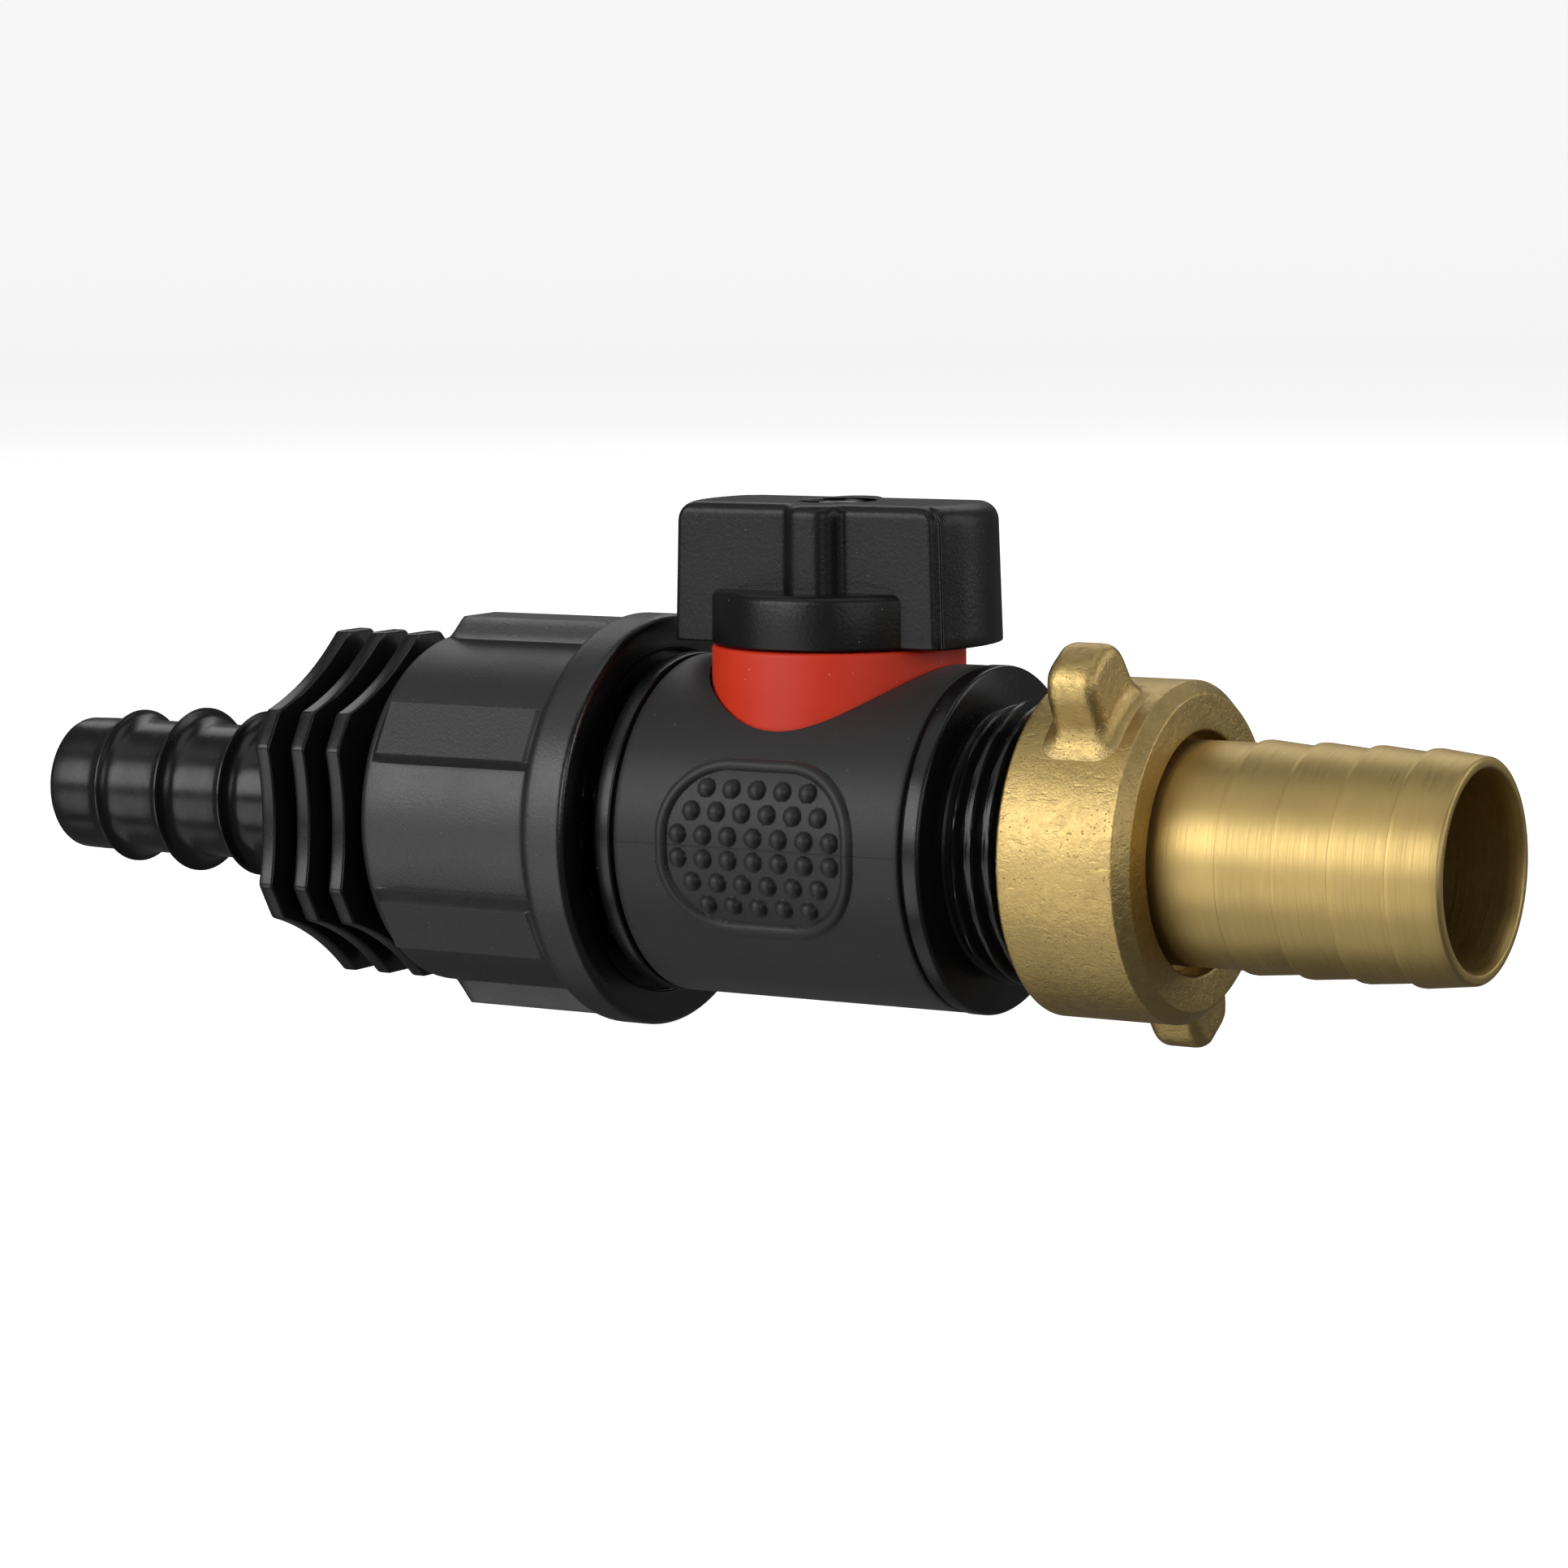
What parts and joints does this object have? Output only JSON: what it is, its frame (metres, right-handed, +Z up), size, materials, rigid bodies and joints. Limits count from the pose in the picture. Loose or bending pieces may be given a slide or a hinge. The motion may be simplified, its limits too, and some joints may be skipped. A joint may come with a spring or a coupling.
{
  "type": "in-line ball valve",
  "caption": "In-line quarter-turn ball valve for a boat's water line, with a plastic hose tail on a union nut and a brass hose tail on a lugged nut.",
  "frame": {"origin": "on the flow axis at the free end of the inlet hose tail", "axes": "+X along the flow from the inlet tail to the outlet tail, +Z up along the stem to the handle"},
  "size_m": [0.1954, 0.0498, 0.064],
  "materials": {
    "tail_plastic": "semi-gloss black moulded glass-filled nylon",
    "nut_plastic": "grained matte black moulded plastic",
    "body_plastic": "glossy black moulded plastic",
    "grip_rubber": "soft-touch matte charcoal overmould",
    "collar_red": "satin orange-red plastic",
    "handle_plastic": "fine-grained satin black plastic",
    "forged_brass": "hot-forged brass, lightly pitted, turned rim",
    "turned_brass": "turned brass with fine tool lines",
    "ball_chrome": "polished chromed brass",
    "stem_steel": "turned stainless steel",
    "screw_steel": "stainless steel",
    "seat_ptfe": "white PTFE",
    "nitrile": "black nitrile rubber"
  },
  "bodies": {
    "inlet_tail": {"inlet_hose_tail": "tail_plastic", "inlet_washer": "nitrile"},
    "union_nut": {"union_nut": "nut_plastic"},
    "valve": {"inlet_end": "body_plastic", "inlet_end_seal": "nitrile", "inlet_seat_seal": "nitrile", "inlet_seat": "seat_ptfe", "valve_body": "body_plastic", "grip_sleeve": "grip_rubber", "stem_collar": "collar_red", "outlet_seat": "seat_ptfe", "outlet_seat_seal": "nitrile", "outlet_end_seal": "nitrile", "outlet_end": "body_plastic"},
    "handle": {"handle": "handle_plastic", "handle_screw": "screw_steel", "stem": "stem_steel", "stem_seals": "nitrile", "thrust_washer": "seat_ptfe", "ball": "ball_chrome"},
    "outlet_tail": {"outlet_hose_tail": "turned_brass", "outlet_washer": "nitrile"},
    "wing_nut": {"wing_nut": "forged_brass"}
  },
  "joints": [
    {"name": "union_nut_turn", "type": "hinge", "parent": "inlet_tail", "child": "union_nut", "pos_m": [0.0742, 0, 0], "axis": [-1, 0, 0], "range_deg": [0, 2160]},
    {"name": "valve_slide", "type": "slide", "parent": "inlet_tail", "child": "valve", "axis": [1, 0, 0], "range_m": [0, 0.01386]},
    {"name": "handle_turn", "type": "hinge", "parent": "valve", "child": "handle", "pos_m": [0.1135, 0, 0.02], "axis": [0, 0, 1], "range_deg": [0, 90]},
    {"name": "outlet_tail_slide", "type": "slide", "parent": "valve", "child": "outlet_tail", "axis": [1, 0, 0], "range_m": [0, 0.00694]},
    {"name": "wing_nut_turn", "type": "hinge", "parent": "outlet_tail", "child": "wing_nut", "pos_m": [0.1527, 0, 0], "axis": [1, 0, 0], "range_deg": [0, 1080]}
  ],
  "couplings": [
    {"joint": "valve_slide", "follows": "union_nut_turn", "m_per_rad": 0.00036749},
    {"joint": "outlet_tail_slide", "follows": "wing_nut_turn", "m_per_rad": 0.00036749}
  ]
}
